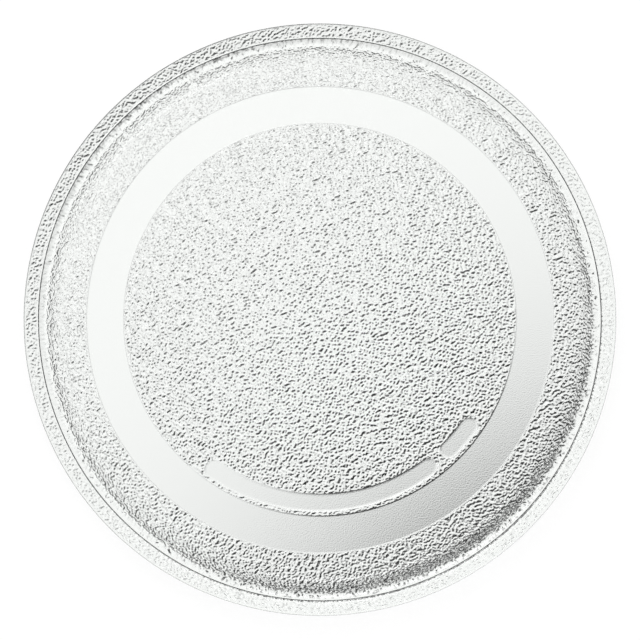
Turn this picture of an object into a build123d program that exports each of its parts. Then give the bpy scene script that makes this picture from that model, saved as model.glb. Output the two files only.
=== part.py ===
"""Glass turntable plate for a microwave oven: one piece of clear pressed glass.

The plate stands on its roller track, a smooth ring under the base. Origin: centre of the track's
face. +Z is up, towards the food. -Y is the side with the long label pad.
Lengths are in millimetres, angles in degrees.
"""

import os
from math import degrees, radians, sin, tan

from build123d import *

# Overall form
plate_diameter = 245.0
plate_height = 13.0
base_thickness = 4.5

# Wall between the base and the lip
wall_angle = 60.0
wall_thickness = 4.25
well_corner_radius = 7.0
heel_radius = 9.4

# Lip: flat on top, with an underside that rises to a thin edge with broken corners
lip_width = 8.1
lip_underside_angle = 27.0
lip_edge_thickness = 2.2
lip_edge_chamfer = 0.7
lip_inner_radius = 3.0

# Mould seam on the lip, where the plunger's mark ends and the mould ring's begins
seam_from_edge = 5.9
seam_step = 0.15

# Roller track: a smooth ring that stands a little proud of the base
track_border = 8.8
track_width = 15.0
track_height = 0.2
track_flank = 0.25

# Bare label pads: smooth strips with round ends, just inside the track
pad_gap = 2.5
pad_width = 6.7
pad_height = 0.15
long_pad_start = -127.8
long_pad_sweep = 76.5
short_pad_start = -47.7
short_pad_sweep = 14.4

# Levels and slopes that follow from the sizes above
base_level = track_height
floor_level = base_level + base_thickness
seat_level = plate_height - seam_step
edge_level = plate_height - lip_edge_thickness
wall_slope = tan(radians(wall_angle))
lip_slope = tan(radians(lip_underside_angle))

# Radii of the section's corners, from the edge inwards
plate_radius = plate_diameter / 2
seam_radius = plate_radius - seam_from_edge
lip_corner_radius = plate_radius - lip_width
well_corner = lip_corner_radius - (seat_level - floor_level) / wall_slope
wall_offset = wall_thickness / sin(radians(wall_angle))
heel_corner = well_corner - base_thickness / wall_slope + wall_offset
flat_base_radius = heel_corner - heel_radius * tan(radians(wall_angle / 2))

# The outside of the wall and the underside of the lip meet at the lip's root
root_run = (edge_level - base_level - (plate_radius - heel_corner) * lip_slope) / (wall_slope - lip_slope)
lip_root = (heel_corner + root_run, base_level + root_run * wall_slope)

track_outer_radius = flat_base_radius - track_border
track_inner_radius = track_outer_radius - track_width
pad_middle_radius = track_inner_radius - pad_gap - pad_width / 2
pad_round_ends = degrees(pad_width / pad_middle_radius)

# Corners of half the section, each with its rounding: along the underside, round the edge and back
underside = [
    ((track_inner_radius - track_flank, base_level), 0),
    ((track_inner_radius, 0), 0),
    ((track_outer_radius, 0), 0),
    ((track_outer_radius + track_flank, base_level), 0),
    ((heel_corner, base_level), heel_radius),
    (lip_root, 0),
]
edge_and_seam = [
    ((plate_radius, edge_level), 0),
    ((plate_radius, plate_height), 0),
    ((seam_radius, plate_height), 0),
    ((seam_radius, seat_level), 0),
]
inside = [
    ((lip_corner_radius, seat_level), lip_inner_radius),
    ((well_corner, floor_level), well_corner_radius),
]
corners = underside + edge_and_seam + inside
axis_low = (0, base_level)
axis_high = (0, floor_level)

with BuildPart() as turntable_plate:
    with BuildSketch(Plane.XZ) as section:
        with BuildLine():
            FilletPolyline(
                axis_low,
                *[point for point, rounding in corners],
                axis_high,
                radius=[rounding for point, rounding in corners],
            )
            Line(axis_high, axis_low)
        make_face()
        rim_corners = section.vertices().group_by(Axis.X)[-1]
        chamfer(rim_corners, lip_edge_chamfer)
    revolve(axis=Axis.Z)

    # The pads stand proud of the base, but clear of the rollers
    with BuildSketch(Plane.XY.offset(base_level)):
        for start, sweep in ((long_pad_start, long_pad_sweep), (short_pad_start, short_pad_sweep)):
            with BuildLine(mode=Mode.PRIVATE) as middle:
                CenterArc((0, 0), pad_middle_radius, start + pad_round_ends / 2, sweep - pad_round_ends)
            SlotArc(middle.edge(), height=pad_width)
    extrude(amount=-pad_height)

turntable_plate.part.label = "turntable_plate"

os.makedirs("parts", exist_ok=True)
export_step(turntable_plate.part, "parts/turntable_plate.step")

print("track", round(track_inner_radius, 2), "to", round(track_outer_radius, 2))
print("well corner", round(well_corner, 2), "heel corner", round(heel_corner, 2))
print("lip root", round(lip_root[0], 2), round(lip_root[1], 2))
print("pad middle", round(pad_middle_radius, 2))
print("volume", round(turntable_plate.part.volume / 1000, 1), "cubic centimetres")
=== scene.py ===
# %% [markdown]
# # A turntable plate of pressed glass
#
# The plate turns the food in a microwave oven. A gob of clear glass is pressed once between a mould,
# a mould ring and a plunger, so the plate is one piece. The plunger leaves the top smooth. The mould
# leaves a fine pebbled grain underneath, apart from a smooth track for the rollers and two bare pads.
# This lesson turns the plate's section into one closed mesh, presses the grain into it and dresses it
# as glass on a white sweep.

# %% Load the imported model
import math

import bmesh
import bpy
import numpy as np
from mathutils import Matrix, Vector


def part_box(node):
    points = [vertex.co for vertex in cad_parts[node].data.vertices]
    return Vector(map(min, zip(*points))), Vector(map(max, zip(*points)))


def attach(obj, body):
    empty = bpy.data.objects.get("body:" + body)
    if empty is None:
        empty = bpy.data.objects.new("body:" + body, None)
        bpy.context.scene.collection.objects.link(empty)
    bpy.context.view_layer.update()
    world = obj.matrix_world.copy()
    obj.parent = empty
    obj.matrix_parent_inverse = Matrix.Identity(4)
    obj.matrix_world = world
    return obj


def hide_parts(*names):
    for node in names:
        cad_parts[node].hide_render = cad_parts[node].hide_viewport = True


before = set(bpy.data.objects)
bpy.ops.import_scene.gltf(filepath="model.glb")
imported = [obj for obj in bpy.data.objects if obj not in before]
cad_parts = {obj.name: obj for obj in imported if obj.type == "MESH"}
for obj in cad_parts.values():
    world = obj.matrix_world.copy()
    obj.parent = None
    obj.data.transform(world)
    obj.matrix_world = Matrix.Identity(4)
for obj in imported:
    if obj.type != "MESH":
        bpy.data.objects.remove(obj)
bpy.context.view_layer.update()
MM = 0.001

# %% [markdown]
# ## The section
#
# Half the section tells all of a round pressing: the base, the heel, the wall, the lip with its mould
# seam, and the well. It could be drawn as a curve and spun by a Screw modifier, but the grain needs
# small even triangles underneath and the smooth top needs few, so the rings are laid out in code.
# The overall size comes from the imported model, and these other sizes are the solid's. What is too fine
# for the solid, such as small roundings, comes later, with the outlines.

# %% Main sizes of the section, in millimetres and degrees
lowest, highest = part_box("turntable_plate")
PLATE_RADIUS = highest.x / MM
PLATE_HEIGHT = highest.z / MM
BASE_THICKNESS = 4.5
WALL_ANGLE = 60.0
WALL_THICKNESS = 4.25
WELL_CORNER_RADIUS = 7.0
HEEL_RADIUS = 9.4
LIP_WIDTH = 8.1
LIP_UNDERSIDE_ANGLE = 27.0
LIP_EDGE_THICKNESS = 2.2
LIP_INNER_RADIUS = 3.0
SEAM_FROM_EDGE = 5.9
SEAM_STEP = 0.15
TRACK_BORDER = 8.8
TRACK_WIDTH = 15.0
TRACK_HEIGHT = 0.2
print("plate", round(2 * PLATE_RADIUS, 2), "mm across and", round(PLATE_HEIGHT, 2), "mm tall")
print("it stands at", round(lowest.z / MM, 2), "mm")

# %% Levels and corners that follow from the sizes
wall_turn = math.radians(WALL_ANGLE)
wall_slope = math.tan(wall_turn)
lip_slope = math.tan(math.radians(LIP_UNDERSIDE_ANGLE))
base_level = TRACK_HEIGHT
floor_level = base_level + BASE_THICKNESS
seat_level = PLATE_HEIGHT - SEAM_STEP
edge_level = PLATE_HEIGHT - LIP_EDGE_THICKNESS
seam_radius = PLATE_RADIUS - SEAM_FROM_EDGE
lip_corner = PLATE_RADIUS - LIP_WIDTH
well_corner = lip_corner - (seat_level - floor_level) / wall_slope
wall_offset = WALL_THICKNESS / math.sin(wall_turn)
heel_corner = well_corner - BASE_THICKNESS / wall_slope + wall_offset
flat_base_radius = heel_corner - HEEL_RADIUS * math.tan(wall_turn / 2)
track_outer = flat_base_radius - TRACK_BORDER
track_inner = track_outer - TRACK_WIDTH

# The outside of the wall and the underside of the lip meet at the lip's root
root_gap = edge_level - base_level - (PLATE_RADIUS - heel_corner) * lip_slope
root_run = root_gap / (wall_slope - lip_slope)
lip_root = (heel_corner + root_run, base_level + root_run * wall_slope)
print("track", round(track_inner, 2), "to", round(track_outer, 2), "mm from the centre")
print("lip root", [round(part, 2) for part in lip_root], "and well corner", round(well_corner, 2))

# %% [markdown]
# ## Rounded outlines
#
# Molten glass can't fill a sharp corner, so each corner of the section is an arc. A bevel on the
# finished mesh would do it too, but an arc laid out beforehand puts the rings where they are needed.
# A straight run next to an arc gets a holding ring close by, so that its shading stays flat. A run that
# is too short for two of them gets none.

# %% Turn corners into points
ARC_STEP = 0.2  # radians
HOLD = 0.12  # from the end of an arc to its holding ring
SHORT_RUN = 4 * HOLD


def leg(corner, other):
    """Direction and length from one corner of an outline to another."""
    run = np.array(other[:2]) - corner
    length = np.linalg.norm(run)
    return run / length, length


def rounded_outline(corners, arc_step=ARC_STEP):
    """Points through the corners (radius, height, rounding), with arcs and their holding points."""
    points = [np.array(corners[0][:2])]
    for before, (radius, level, rounding), after in zip(corners, corners[1:], corners[2:]):
        corner = np.array((radius, level))
        back, back_length = leg(corner, before)
        ahead, ahead_length = leg(corner, after)
        half_turn = (math.pi - math.acos(back @ ahead)) / 2
        reach = rounding * math.tan(half_turn)
        inward = (back + ahead) / np.linalg.norm(back + ahead)
        across = (ahead - back) / np.linalg.norm(ahead - back)
        middle = corner + inward * rounding / math.cos(half_turn)
        if back_length > SHORT_RUN:
            points.append(corner + back * (reach + HOLD))
        steps = max(2, math.ceil(2 * half_turn / arc_step))
        for turn in np.linspace(-half_turn, half_turn, steps + 1):
            points.append(middle + rounding * (across * math.sin(turn) - inward * math.cos(turn)))
        if ahead_length > SHORT_RUN:
            points.append(corner + ahead * (reach + HOLD))
    points.append(np.array(corners[-1][:2]))
    return np.array(points)


def evenly_spaced(points, spacing):
    """The same line with its points about that far apart."""
    along = np.append(0, np.cumsum(np.linalg.norm(np.diff(points, axis=0), axis=1)))
    stops = np.linspace(0, along[-1], max(2, round(along[-1] / spacing) + 1))
    return np.column_stack([np.interp(stops, along, points[:, axis]) for axis in range(2)])


print("arcs in steps of", round(math.degrees(ARC_STEP), 1), "degrees")

# %% [markdown]
# ## Lines of the underside
#
# The pebbles are under 2 mm wide, so the base has a ring of points about every 0.6 mm, with points
# 0.73 mm apart on it, and the rim a little fewer: rings that sit like the rows of a honeycomb. The track
# is flat, so it has rings only at its sides, which the mould rounds a little. A fine grid all over would
# be simpler, but it would spend most of its points on smooth glass.

# %% From the middle of the base to the underside of the lip
BASE_SPACING = 0.73
RIM_SPACING = 0.9
ROW_SHARE = math.sqrt(3) / 2
TRACK_FLANK = 0.5
TRACK_CORNER_RADIUS = 0.6
TRACK_MARGIN = 0.35  # from the foot of the track's side to the last ring of the base
LIP_ROOT_RADIUS = 1.4
EDGE_MARGIN = 1.0  # from the plate's edge to the last ring with grain
FINE_ARC_STEP = 0.02  # for arcs that are spaced evenly afterwards

inner_foot = track_inner - TRACK_FLANK
outer_foot = track_outer + TRACK_FLANK
track_start = inner_foot - TRACK_MARGIN
track_stop = outer_foot + TRACK_MARGIN
pebble_edge = (PLATE_RADIUS - EDGE_MARGIN, edge_level - EDGE_MARGIN * lip_slope)

flat_base = np.array([(0, base_level), (track_start, base_level)])
base_line = evenly_spaced(flat_base, BASE_SPACING * ROW_SHARE)
track_line = rounded_outline([
    (track_start, base_level),
    (inner_foot, base_level, TRACK_CORNER_RADIUS),
    (track_inner, 0, TRACK_CORNER_RADIUS),
    (track_outer, 0, TRACK_CORNER_RADIUS),
    (outer_foot, base_level, TRACK_CORNER_RADIUS),
    (track_stop, base_level),
])
outside_arcs = rounded_outline([
    (track_stop, base_level),
    (heel_corner, base_level, HEEL_RADIUS),
    (*lip_root, LIP_ROOT_RADIUS),
    pebble_edge,
], arc_step=FINE_ARC_STEP)
outside_line = evenly_spaced(outside_arcs, RIM_SPACING * ROW_SHARE)
print("rings on the base, track and rim", len(base_line), len(track_line), len(outside_line))

# %% [markdown]
# ## Lines of the edge and the top
#
# On the lip the plunger's face meets the mould ring's. Their joint chills the glass, which shrinks away
# from it and leaves a step with a fine furrow along it. The furrow shows as a thin dark ring. A dark
# line in the material would look the same from above, but not from the side. The lip sinks a hair
# from its edge towards this seam. The top is smooth, so it has few rings.

# %% Round the edge and back to the middle of the well
LIP_EDGE_RADIUS = 0.2
LIP_SINK = 0.1
SEAM_FLANK = 0.35
SEAM_FURROW = 0.2
SEAM_CORNER_RADIUS = 0.05
WELL_RINGS = 7

top_line = rounded_outline([
    pebble_edge,
    (PLATE_RADIUS, edge_level, LIP_EDGE_RADIUS),
    (PLATE_RADIUS, PLATE_HEIGHT, LIP_EDGE_RADIUS),
    (seam_radius + SEAM_FLANK, PLATE_HEIGHT - LIP_SINK, SEAM_CORNER_RADIUS),
    (seam_radius, seat_level - SEAM_FURROW, SEAM_CORNER_RADIUS),
    (seam_radius - SEAM_FLANK, seat_level, SEAM_CORNER_RADIUS),
    (lip_corner, seat_level, LIP_INNER_RADIUS),
    (well_corner, floor_level, WELL_CORNER_RADIUS),
    (well_corner - WELL_CORNER_RADIUS, floor_level),
])
well_edge = top_line[-1][0]
well_rings = np.linspace(well_edge, 0, WELL_RINGS)[1:]
print("rings on the edge and top", len(top_line), "and in the well", len(well_rings))

# %% [markdown]
# ## Where the grain goes
#
# The grain covers the base and the outside of the wall. It stops at the foot of the track's sides, dies
# out in the corner at the lip's root, where pebbles would hold the glass in the mould, and is fainter
# under the lip. Painted weights could say so too, but the plate is round, so one share for each ring
# is enough. Rings with grain are turned against each other, so that their points interlock.

# %% Rows: radius, level, number of points, share of the grain, and whether they interlock
TRACK_POINTS = 400
TOP_POINTS = 260
GRAIN_FADE = 0.3  # over which it comes in at the foot of the track and the pads
LIP_GRAIN = 0.6  # share that is left under the lip
ROOT_RUN = 2.4  # over which it dies out towards the lip's root


def points_round(radius, spacing):
    """Number of points on a ring, about that far apart."""
    return round(2 * math.pi * radius / spacing)


rows = []
for radius, level in base_line[:-1]:
    rows.append((radius, level, points_round(radius, BASE_SPACING), 1.0, True))

track_middle = (track_inner + track_outer) / 2
for radius, level in track_line:
    from_foot = abs(radius - track_middle) - TRACK_WIDTH / 2 - TRACK_FLANK
    rows.append((radius, level, TRACK_POINTS, np.clip(from_foot / GRAIN_FADE, 0, 1), False))

from_root = np.linalg.norm(outside_line - lip_root, axis=1)
outside_grain = np.where(outside_line[:, 0] > lip_root[0], LIP_GRAIN, 1.0)
outside_grain *= np.clip(from_root / ROOT_RUN, 0, 1)
for (radius, level), share in zip(outside_line[1:], outside_grain[1:]):
    rows.append((radius, level, points_round(radius, RIM_SPACING), share, True))

for radius, level in top_line[1:]:
    rows.append((radius, level, TOP_POINTS, 0.0, False))
for radius in well_rings:
    rows.append((radius, floor_level, round(TOP_POINTS * radius / well_edge), 0.0, False))
print(len(rows), "rows")

# %% [markdown]
# ## Stitching the rings
#
# Neighbouring rings have different numbers of points, so there are no quads to fill. The stitch walks
# round both rings at once and always closes the triangle whose edge comes next. A Delaunay fill would
# do as well, but it knows only flat sets of points, and the wall is steep. The whole plate stays under
# 200,000 triangles, and what is finer than that is left to bump.

# %% Place the vertices and stitch them
GOLDEN_SHARE = (math.sqrt(5) - 1) / 2


def ring_of(number):
    """Points of one row, the places round the turn of the middles of its edges, and its grain."""
    radius, level, count, share, interlocks = rows[number]
    count = max(1, count)
    shift = number * GOLDEN_SHARE % 1 if interlocks else 0.0
    steps = np.arange(count) + shift
    turns = 2 * math.pi * steps / count
    points = np.column_stack([radius * np.cos(turns), radius * np.sin(turns), np.full(count, level)])
    return points, (steps + 0.5) / count, np.full(count, share)


def stitch(start_a, edges_a, start_b, edges_b):
    """Triangles between two rings, from their first vertices and the middles of their edges."""
    count_a = len(edges_a)
    count_b = len(edges_b)
    if count_a == 1:
        return [(start_a, start_b + edge, start_b + (edge + 1) % count_b) for edge in range(count_b)]
    if count_b == 1:
        return [(start_a + edge, start_b, start_a + (edge + 1) % count_a) for edge in range(count_a)]
    order = np.argsort(np.append(edges_a, edges_b), kind="stable")
    on_a = order < count_a
    passed_a = np.cumsum(on_a) % count_a
    passed_b = np.cumsum(~on_a) % count_b
    edge_a = order[on_a]
    edge_b = order[~on_a] - count_a
    from_a = np.column_stack([
        start_a + edge_a, start_b + passed_b[on_a], start_a + (edge_a + 1) % count_a])
    from_b = np.column_stack([
        start_b + edge_b, start_b + (edge_b + 1) % count_b, start_a + passed_a[~on_a]])
    return from_a.tolist() + from_b.tolist()


points, edges, shares = zip(*[ring_of(number) for number in range(len(rows))])
places = np.concatenate(points)
grain_share = np.concatenate(shares)
starts = np.append(0, np.cumsum([len(ring) for ring in points]))
triangles = []
for number in range(len(rows) - 1):
    triangles += stitch(starts[number], edges[number], starts[number + 1], edges[number + 1])
print(len(places), "vertices and", len(triangles), "triangles")

# %% [markdown]
# ## The bare label pads
#
# Inside the track the mould has two smooth strips with round ends, a little proud of the grain. They
# are raised in the mesh: vertices close to a strip's outline slide onto it, so that its edge is a
# clean line, and those within it drop to the strip's level. A boolean would leave slivers.

# %% Raise the pads
PAD_GAP = 2.5
PAD_WIDTH = 6.7
PAD_HEIGHT = 0.15
PAD_FLANK = 0.42
PADS = {"long pad": (-127.8, 76.5), "short pad": (-47.7, 14.4)}  # start and sweep in degrees
SMALLEST_DISTANCE = 1e-6

pad_half = PAD_WIDTH / 2
pad_middle = track_inner - PAD_GAP - pad_half
slide = BASE_SPACING / 2
from_axis = np.hypot(places[:, 0], places[:, 1])
on_base = (grain_share > 0) & (from_axis < track_inner)
pebbled = grain_share.copy()
satin = np.zeros(len(places))
for name, (start, sweep) in PADS.items():
    # The nearest point on the strip's middle line, and how far each vertex is outside the strip
    half_sweep = math.radians(sweep) / 2 - pad_half / pad_middle
    middle_turn = math.radians(start + sweep / 2)
    turn = np.arctan2(places[:, 1], places[:, 0]) - middle_turn
    turn = (turn + math.pi) % (2 * math.pi) - math.pi
    turn = np.clip(turn, -half_sweep, half_sweep) + middle_turn
    nearest = pad_middle * np.column_stack([np.cos(turn), np.sin(turn)])
    offset = places[:, :2] - nearest
    distance = np.maximum(np.linalg.norm(offset, axis=1), SMALLEST_DISTANCE)
    outside = distance - pad_half

    # Vertices close by slide onto the strip's edge or onto the foot of its side
    on_edge = on_base & (outside > -slide) & (outside <= PAD_FLANK / 2)
    on_foot = on_base & (outside > PAD_FLANK / 2) & (outside < PAD_FLANK + slide)
    outside = np.where(on_edge, 0.0, np.where(on_foot, PAD_FLANK, outside))
    slid = nearest + offset / distance[:, None] * (outside + pad_half)[:, None]
    places[:, :2] = np.where((on_edge | on_foot)[:, None], slid, places[:, :2])

    raised = on_base & (outside <= 0)
    places[raised, 2] = base_level - PAD_HEIGHT
    satin[raised] = 1.0
    fade = np.clip((outside - PAD_FLANK) / GRAIN_FADE, 0, 1)
    pebbled = np.where(on_base, np.minimum(pebbled, fade), pebbled)
    print(name, "takes", int(raised.sum()), "vertices")

# %% [markdown]
# ## The plain pressing
#
# The mesh carries three things for the nodes that follow: where each vertex was before the grain, how
# much grain it takes, and how satin its surface is. They could be painted as textures, but attributes
# need no unwrapping. The grain can then be worked out twice from the same places, once for the mesh and
# once for the shading, and the two agree.

# %% Build the mesh and its attributes
CUBIC_CENTIMETRE = (10 * MM) ** 3

track_face = (places[:, 2] < TRACK_HEIGHT / 2) & (from_axis > inner_foot)
satin[track_face] = 1.0

plate_mesh = bpy.data.meshes.new("turntable_plate_glass")
plate_mesh.from_pydata((places * MM).tolist(), [], triangles)
shell = bmesh.new()
shell.from_mesh(plate_mesh)
bmesh.ops.recalc_face_normals(shell, faces=shell.faces)
closed = all(edge.is_manifold for edge in shell.edges)
print("closed", closed, "volume", round(shell.calc_volume() / CUBIC_CENTIMETRE, 1), "cm3")
shell.to_mesh(plate_mesh)
shell.free()
plate_mesh.shade_smooth()
for name, kind, field, values in (
    ("pebbled", "FLOAT", "value", pebbled),
    ("satin", "FLOAT", "value", satin),
    ("pressed_place", "FLOAT_VECTOR", "vector", places),
):
    attribute = plate_mesh.attributes.new(name, kind, "POINT")
    attribute.data.foreach_set(field, values.astype(np.float32).ravel())
plate = bpy.data.objects.new("turntable_plate_glass", plate_mesh)
bpy.context.scene.collection.objects.link(plate)

# %% [markdown]
# ## Nodes
#
# The grain in the mesh, the glass, the floor and the light are all node trees, so one small function
# adds a node, sets it and links it. Some nodes have sockets that only show with some settings, so it
# looks only at those that are in use. Colours are written as sRGB hex values and turned to linear once.

# %% Helpers for nodes and colours
def add_node(tree, kind, inputs, **settings):
    """Add a node with its settings, and give each input a value, or a link from a node or socket."""
    node = tree.nodes.new(kind)
    for name, value in settings.items():
        setattr(node, name, value)
    named = {socket.name: socket for socket in node.inputs if socket.enabled}
    for name, value in inputs.items():
        socket = node.inputs[name] if isinstance(name, int) else named[name]
        if isinstance(value, bpy.types.Node):
            value = next(output for output in value.outputs if output.enabled)
        if isinstance(value, bpy.types.NodeSocket):
            tree.links.new(value, socket)
        else:
            socket.default_value = value
    return node


def linear(hex_colour):
    """Linear RGBA of an sRGB hex colour."""
    channels = [int(hex_colour[start:start + 2], 16) / 255 for start in (1, 3, 5)]
    return (*[c / 12.92 if c <= 0.04045 else ((c + 0.055) / 1.055) ** 2.4 for c in channels], 1.0)


print("a middle grey is", round(linear("#808080")[0], 3), "in linear light")

# %% [markdown]
# ## The pebbled grain
#
# The mould was etched or peened, and the glass took its grain: flat little pebbles with short steep
# sides, most of them under 2 mm wide. Seen through the plate the sides bend the light away and show as
# short dark lines. Voronoi cells would be too regular, and plain noise slopes everywhere. So a noise is
# cut at its middle value, which gives islands of all forms. The noise divided by its own slope is about
# the distance from an island's outline, so every side gets the same width, with rounded shoulders.
# The real relief is about 0.2 mm. It wouldn't show at this picture's size, so it is drawn deeper: the
# mesh takes a share that keeps close to the real depth, and bump takes the larger share.

# %% One recipe for the height of the grain, in millimetres
PEBBLE_PITCH = 1.85
CELL_SHARE = 0.6  # cells of noise are smaller than the pebbles that are cut from them
NOISE_CELL = CELL_SHARE * PEBBLE_PITCH
NOISE_MIDDLE = 0.5
LATTICE_TURN = (35.0, 45.0, 20.0)  # degrees, so that no row of the noise lies along the plate
PEBBLE_SIDE = 0.4  # how wide a pebble's side is
PEBBLE_RELIEF = 0.58
MESH_SHARE = 0.25
BUMP_SHARE = 0.9
LEAST_RISE = 0.22  # of the noise over one cell, so that flat places don't divide by nothing
PROBE = 0.06  # how far aside the noise is read again to find its slope


def pebble_noise(tree, place, aside):
    """Node with the noise that the pebbles are cut from, a little aside of a place."""
    moved = add_node(tree, "ShaderNodeVectorMath", {0: place, 1: aside}, operation="ADD")
    turn = [math.radians(angle) for angle in LATTICE_TURN]
    turned = add_node(tree, "ShaderNodeVectorRotate", {"Vector": moved, "Rotation": turn},
                      rotation_type="EULER_XYZ")
    return add_node(tree, "ShaderNodeTexNoise", {
        "Vector": turned, "Scale": 1 / NOISE_CELL, "Detail": 0.0})


def grain_height(tree, place):
    """Node with the height of the grain at a place, from -0.5 in the valleys to 0.5 on the pebbles."""
    here = pebble_noise(tree, place, (0, 0, 0))
    steps = {}
    for axis, aside in (("X", (PROBE, 0, 0)), ("Y", (0, PROBE, 0))):
        there = pebble_noise(tree, place, aside)
        steps[axis] = add_node(tree, "ShaderNodeMath", {0: there, 1: here}, operation="SUBTRACT")
    rise = add_node(tree, "ShaderNodeCombineXYZ", steps)
    slope = add_node(tree, "ShaderNodeVectorMath", {0: rise}, operation="LENGTH")
    least_slope = LEAST_RISE / NOISE_CELL * PROBE
    slope = add_node(tree, "ShaderNodeMath", {0: slope, 1: least_slope}, operation="MAXIMUM")
    above = add_node(tree, "ShaderNodeMath", {0: here, 1: NOISE_MIDDLE}, operation="SUBTRACT")
    distance = add_node(tree, "ShaderNodeMath", {0: above, 1: slope}, operation="DIVIDE")
    sides = add_node(tree, "ShaderNodeMath", {0: distance, 1: PROBE / PEBBLE_SIDE}, operation="MULTIPLY")

    # x / (1 + |x|) climbs from -1 to 1, steep in the middle and ever flatter at both ends
    size = add_node(tree, "ShaderNodeMath", {0: sides}, operation="ABSOLUTE")
    size = add_node(tree, "ShaderNodeMath", {0: size, 1: 1.0}, operation="ADD")
    climb = add_node(tree, "ShaderNodeMath", {0: sides, 1: size}, operation="DIVIDE")
    return add_node(tree, "ShaderNodeMath", {0: climb, 1: 0.5}, operation="MULTIPLY")


print("pebbles", PEBBLE_PITCH, "mm apart, from noise cells of", round(NOISE_CELL, 2), "mm")

# %% [markdown]
# ## Pressing the grain into the mesh
#
# On the real plate the glass flows into the mould's grain. Here geometry nodes push each vertex along
# its normal by the height of the grain. A Displace modifier would need a texture of its own, which
# would not be in step with the shader. The result is kept as a plain mesh.

# %% Press the grain into the mesh
press = bpy.data.node_groups.new("press_the_grain", "GeometryNodeTree")
press.interface.new_socket("Plate", in_out="INPUT", socket_type="NodeSocketGeometry")
press.interface.new_socket("Plate", in_out="OUTPUT", socket_type="NodeSocketGeometry")
plain = add_node(press, "NodeGroupInput", {})
place = add_node(press, "GeometryNodeInputNamedAttribute", {"Name": "pressed_place"},
                 data_type="FLOAT_VECTOR")
amount = add_node(press, "GeometryNodeInputNamedAttribute", {"Name": "pebbled"}, data_type="FLOAT")
height = grain_height(press, place)
mesh_relief = PEBBLE_RELIEF * MESH_SHARE * MM
depth = add_node(press, "ShaderNodeMath", {0: height, 1: amount}, operation="MULTIPLY")
depth = add_node(press, "ShaderNodeMath", {0: depth, 1: mesh_relief}, operation="MULTIPLY")
outward = add_node(press, "GeometryNodeInputNormal", {})
push = add_node(press, "ShaderNodeVectorMath", {0: outward, "Scale": depth}, operation="SCALE")
pressed = add_node(press, "GeometryNodeSetPosition", {"Geometry": plain, "Offset": push})
add_node(press, "NodeGroupOutput", {"Plate": pressed})

modifier = plate.modifiers.new("press_the_grain", "NODES")
modifier.node_group = press
depsgraph = bpy.context.evaluated_depsgraph_get()
grained_mesh = bpy.data.meshes.new_from_object(plate.evaluated_get(depsgraph))
plate.modifiers.clear()
plate.data = grained_mesh
print("lowest point", round(min(vertex.co.z for vertex in grained_mesh.vertices) / MM, 3), "mm")

# %% [markdown]
# ## Clear pressed soda-lime glass
#
# Soda-lime glass bends light with an index of about 1.52 and is faintly green where it is thick. A
# polished plunger leaves it bright, so its roughness is nothing, and the eye sees only what the glass
# bends. The larger share of the grain is bump, in step with the mesh. The track and the pads have a fine
# satin from the mould's bare steel. Roughness would blur them to an even grey, so the satin is bump too.
# Its grit is far below a tenth of a millimetre, and is drawn coarser so that it shows.

# %% The glass
GLASS_TINT = "#FBFDFB"
GLASS_IOR = 1.52
SATIN_CELL = 0.55
SATIN_RELIEF = 0.08

glass = bpy.data.materials.new("clear_pressed_soda_lime_glass")
glass.use_nodes = True
tree = glass.node_tree
tree.nodes.clear()
place = add_node(tree, "ShaderNodeAttribute", {}, attribute_name="pressed_place").outputs["Vector"]
amount = add_node(tree, "ShaderNodeAttribute", {}, attribute_name="pebbled").outputs["Fac"]
satin_amount = add_node(tree, "ShaderNodeAttribute", {}, attribute_name="satin").outputs["Fac"]
height = grain_height(tree, place)
bump_relief = PEBBLE_RELIEF * BUMP_SHARE
pebble = add_node(tree, "ShaderNodeMath", {0: height, 1: bump_relief}, operation="MULTIPLY")
pebble = add_node(tree, "ShaderNodeMath", {0: pebble, 1: amount}, operation="MULTIPLY")
grit = add_node(tree, "ShaderNodeTexNoise", {"Vector": place, "Scale": 1 / SATIN_CELL, "Detail": 1.0})
grit = add_node(tree, "ShaderNodeMath", {0: grit, 1: SATIN_RELIEF}, operation="MULTIPLY")
relief = add_node(tree, "ShaderNodeMath", {0: grit, 1: satin_amount, 2: pebble},
                  operation="MULTIPLY_ADD")
bump = add_node(tree, "ShaderNodeBump", {"Height": relief, "Distance": MM, "Strength": 1.0})
shader = add_node(tree, "ShaderNodeBsdfPrincipled", {
    "Base Color": linear(GLASS_TINT), "Roughness": 0.0, "IOR": GLASS_IOR, "Transmission Weight": 1.0,
    "Normal": bump})
add_node(tree, "ShaderNodeOutputMaterial", {"Surface": shader})
plate.data.materials.append(glass)

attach(plate, "root")
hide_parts("turntable_plate")
print("glass", glass.name, "on", plate.name)

# %% [markdown]
# ## The floor
#
# The plate lies on matt white paper, which scatters light evenly and shows no highlight. Part of its
# white is a glow, which keeps it white all round, and part is matt, which takes the plate's faint
# shadow. Rays that come through the glass pass the floor: the tones in the plate come from the sweep
# beyond it. A hole in the floor would do that too, but its edge would show through the glass.

# %% The floor
FLOOR_WHITE = "#FFFFFF"
FLOOR_DEPTH = 0.0002  # metres, a hair under the plate
FLOOR_HALF = 3.0  # metres
GLOW = 0.86
MATT_SHARE = "#6E6E6E"

floor_mesh = bpy.data.meshes.new("sweep_floor")
corners = [(-FLOOR_HALF, -FLOOR_HALF), (FLOOR_HALF, -FLOOR_HALF),
           (FLOOR_HALF, FLOOR_HALF), (-FLOOR_HALF, FLOOR_HALF)]
floor_mesh.from_pydata([(x, y, -FLOOR_DEPTH) for x, y in corners], [], [(0, 1, 2, 3)])
floor = bpy.data.objects.new("sweep_floor", floor_mesh)
bpy.context.scene.collection.objects.link(floor)

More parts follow.
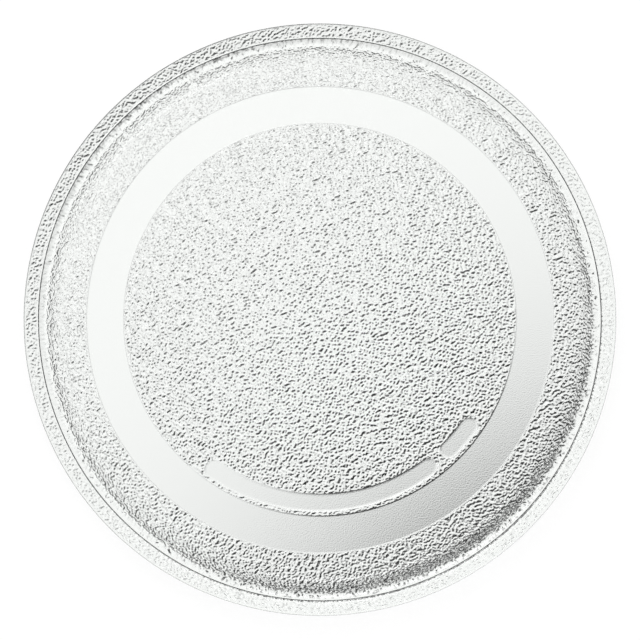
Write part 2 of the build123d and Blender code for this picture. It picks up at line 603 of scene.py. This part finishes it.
paper = bpy.data.materials.new("matt_white_sweep_paper")
paper.use_nodes = True
tree = paper.node_tree
tree.nodes.clear()
through_glass = add_node(tree, "ShaderNodeLightPath", {}).outputs["Is Transmission Ray"]
glow = add_node(tree, "ShaderNodeEmission", {"Color": linear(FLOOR_WHITE), "Strength": GLOW})
matt = add_node(tree, "ShaderNodeBsdfDiffuse", {"Color": linear(MATT_SHARE)})
white = add_node(tree, "ShaderNodeAddShader", {0: glow, 1: matt})
clear = add_node(tree, "ShaderNodeBsdfTransparent", {})
surface = add_node(tree, "ShaderNodeMixShader", {0: through_glass, 1: white, 2: clear})
add_node(tree, "ShaderNodeOutputMaterial", {"Surface": surface})
floor_mesh.materials.append(paper)
print("floor", 2 * FLOOR_HALF, "m wide")

# %% [markdown]
# ## The white sweep
#
# Clear glass has no tones of its own: it shows what it bends the eye towards. Through the flat track the
# eye looks straight on, and through the side of a pebble 10 to 40 degrees away. The world stands for
# the far sweep under the plate. One corner of it, towards the front right, is dim, and so is a band all
# round between about 18 and 52 degrees off the vertical, so the sides of the pebbles show dark. Towards
# the horizon it is white again, and from the side the glass stays clear. Dark cards on a lit table would
# do the same in a studio, and they could be modelled, but colour ramps are easier to match.

# %% Where a ray through the glass lands on the far sweep
DIM_TOWARDS = (13.1, -20.1)  # degrees from straight down, towards +X and +Y
NEARLY_LEVEL = 0.001


def tangent(angle):
    """Tangent of an angle in degrees."""
    return math.tan(math.radians(angle))


world = bpy.data.worlds.new("white_studio")
bpy.context.scene.world = world
world.use_nodes = True
tree = world.node_tree
tree.nodes.clear()
ray = add_node(tree, "ShaderNodeTexCoord", {}).outputs["Generated"]
parts = add_node(tree, "ShaderNodeSeparateXYZ", {"Vector": ray})
drop = add_node(tree, "ShaderNodeMath", {0: parts.outputs["Z"], 1: -1.0}, operation="MULTIPLY")
drop = add_node(tree, "ShaderNodeMath", {0: drop, 1: NEARLY_LEVEL}, operation="MAXIMUM")
aside = add_node(tree, "ShaderNodeMath", {0: parts.outputs["X"], 1: drop}, operation="DIVIDE")
ahead = add_node(tree, "ShaderNodeMath", {0: parts.outputs["Y"], 1: drop}, operation="DIVIDE")
landing = add_node(tree, "ShaderNodeCombineXYZ", {"X": aside, "Y": ahead})
dim_centre = (tangent(DIM_TOWARDS[0]), tangent(DIM_TOWARDS[1]), 0)
from_dim = add_node(tree, "ShaderNodeVectorMath", {0: landing, 1: dim_centre}, operation="DISTANCE")
from_below = add_node(tree, "ShaderNodeVectorMath", {0: landing}, operation="LENGTH")
off_vertical = add_node(tree, "ShaderNodeMath", {0: from_below}, operation="ARCTANGENT")
print("dim corner", DIM_TOWARDS, "degrees from straight down")

# %% How bright it is there: pairs of degrees and brightness
DIM_CORNER = ((0, 0.02), (12, 0.03), (14, 0.08), (15.5, 0.18), (17, 0.40), (18, 0.57), (19, 0.70),
              (20.5, 0.83), (22, 0.91), (24.5, 0.985), (28, 1.04), (34, 1.06))
DIM_BAND = ((0, 1.0), (18, 1.0), (26, 0.8), (34, 0.52), (41, 0.45), (52, 1.0))
RIGHT_ANGLE = 90


def grey(brightness):
    """Linear RGBA of a grey."""
    return (brightness, brightness, brightness, 1)


turn_share = add_node(tree, "ShaderNodeMath", {0: off_vertical, 1: 2 / math.pi}, operation="MULTIPLY")
corner_ramp = add_node(tree, "ShaderNodeValToRGB", {"Fac": from_dim})
band_ramp = add_node(tree, "ShaderNodeValToRGB", {"Fac": turn_share})
corner_stops = [(tangent(degrees), brightness) for degrees, brightness in DIM_CORNER]
band_stops = [(degrees / RIGHT_ANGLE, brightness) for degrees, brightness in DIM_BAND]
for node, stops in ((corner_ramp, corner_stops), (band_ramp, band_stops)):
    ramp = node.color_ramp
    ramp.elements.remove(ramp.elements[1])
    ramp.elements[0].color = grey(stops[0][1])
    for position, brightness in stops[1:]:
        ramp.elements.new(position).color = grey(brightness)
lit = add_node(tree, "ShaderNodeMix", {"Factor": 1.0, "A": corner_ramp, "B": band_ramp},
               data_type="RGBA", blend_type="MULTIPLY")
print("sweep from", DIM_CORNER[0][1], "to", DIM_CORNER[-1][1])

# %% [markdown]
# ## What each ray sees
#
# The glass sees the sweep below and a dim ceiling above, so that reflections on its smooth top don't
# wash out the grain. The camera sees white past the floor's edge, and everything else is lit by an even
# dome. Separate lamps could do this, but Light Path keeps it in one world.

# %% The ceiling, the dome and the white behind
CEILING = 0.12
CEILING_FULL = 0.3  # how far up a ray has to point to see nothing else
DOME = 0.8

upward = add_node(tree, "ShaderNodeMapRange", {
    "Value": parts.outputs["Z"], "From Max": CEILING_FULL}, interpolation_type="SMOOTHSTEP")
for_glass = add_node(tree, "ShaderNodeMix", {"Factor": upward, "A": lit, "B": grey(CEILING)},
                     data_type="RGBA")
path = add_node(tree, "ShaderNodeLightPath", {}).outputs
for_others = add_node(tree, "ShaderNodeMix", {
    "Factor": path["Is Camera Ray"], "A": grey(DOME), "B": linear(FLOOR_WHITE)}, data_type="RGBA")
from_glass = add_node(tree, "ShaderNodeMath", {
    0: path["Is Transmission Ray"], 1: path["Is Glossy Ray"]}, operation="MAXIMUM")
colour = add_node(tree, "ShaderNodeMix", {"Factor": from_glass, "A": for_others, "B": for_glass},
                  data_type="RGBA")
background = add_node(tree, "ShaderNodeBackground", {"Color": colour, "Strength": 1.0})
add_node(tree, "ShaderNodeOutputWorld", {"Surface": background})
print("ceiling", CEILING, "and dome", DOME)

# %% [markdown]
# ## Lamps
#
# Two soft boxes stand above the plate. They give the rim its highlights and the floor its faint shadow.
# Point lamps would leave hard specks in the grain, so they are wide.

# %% Soft boxes: place in metres, width in metres and power in watts
LAMPS = {
    "back_soft_box": ((-0.25, 0.75, 0.85), 0.7, 5.0),
    "front_soft_box": ((0.5, -0.7, 0.9), 0.6, 2.0),
}
for name, (position, width, power) in LAMPS.items():
    lamp = bpy.data.lights.new(name, "AREA")
    lamp.shape = "SQUARE"
    lamp.size = width
    lamp.energy = power
    lamp_object = bpy.data.objects.new(name, lamp)
    lamp_object.location = position
    lamp_object.rotation_euler = (-Vector(position)).to_track_quat("-Z", "Y").to_euler()
    bpy.context.scene.collection.objects.link(lamp_object)
    print(name, power, "W")

# %% [markdown]
# ## Camera
#
# The picture is taken from above, a hair towards the front right, at about arm's length. The plate's rim
# then fills a little more than nine tenths of the frame. From there the near half of the rim looks
# larger than the far half, so the aim is a little off the plate's centre. A shifted lens would do
# the same, but a turned camera is plainer.

# %% Look straight down, in millimetres
FRAME_PIXELS = 640
RIM_PIXELS = 296.6
CAMERA_HEIGHT = 700.0
CAMERA_ASIDE = (10.0, -20.0)
CAMERA_AIM = (0.33, -0.75)
SENSOR = 36.0
CLIP_START = 0.01  # metres

camera_data = bpy.data.cameras.new("overhead_camera")
camera = bpy.data.objects.new("overhead_camera", camera_data)
bpy.context.scene.collection.objects.link(camera)
bpy.context.scene.camera = camera
frame_width = FRAME_PIXELS * PLATE_RADIUS / RIM_PIXELS
camera_data.sensor_width = SENSOR
camera_data.lens = SENSOR * CAMERA_HEIGHT / frame_width
camera_data.clip_start = CLIP_START
target = Vector((*CAMERA_AIM, PLATE_HEIGHT)) * MM
camera.location = target + Vector((*CAMERA_ASIDE, CAMERA_HEIGHT)) * MM
camera.rotation_euler = (-CAMERA_ASIDE[1] / CAMERA_HEIGHT, CAMERA_ASIDE[0] / CAMERA_HEIGHT, 0)
bpy.context.scene.view_settings.view_transform = "Standard"
print("lens", round(camera_data.lens, 1), "mm")
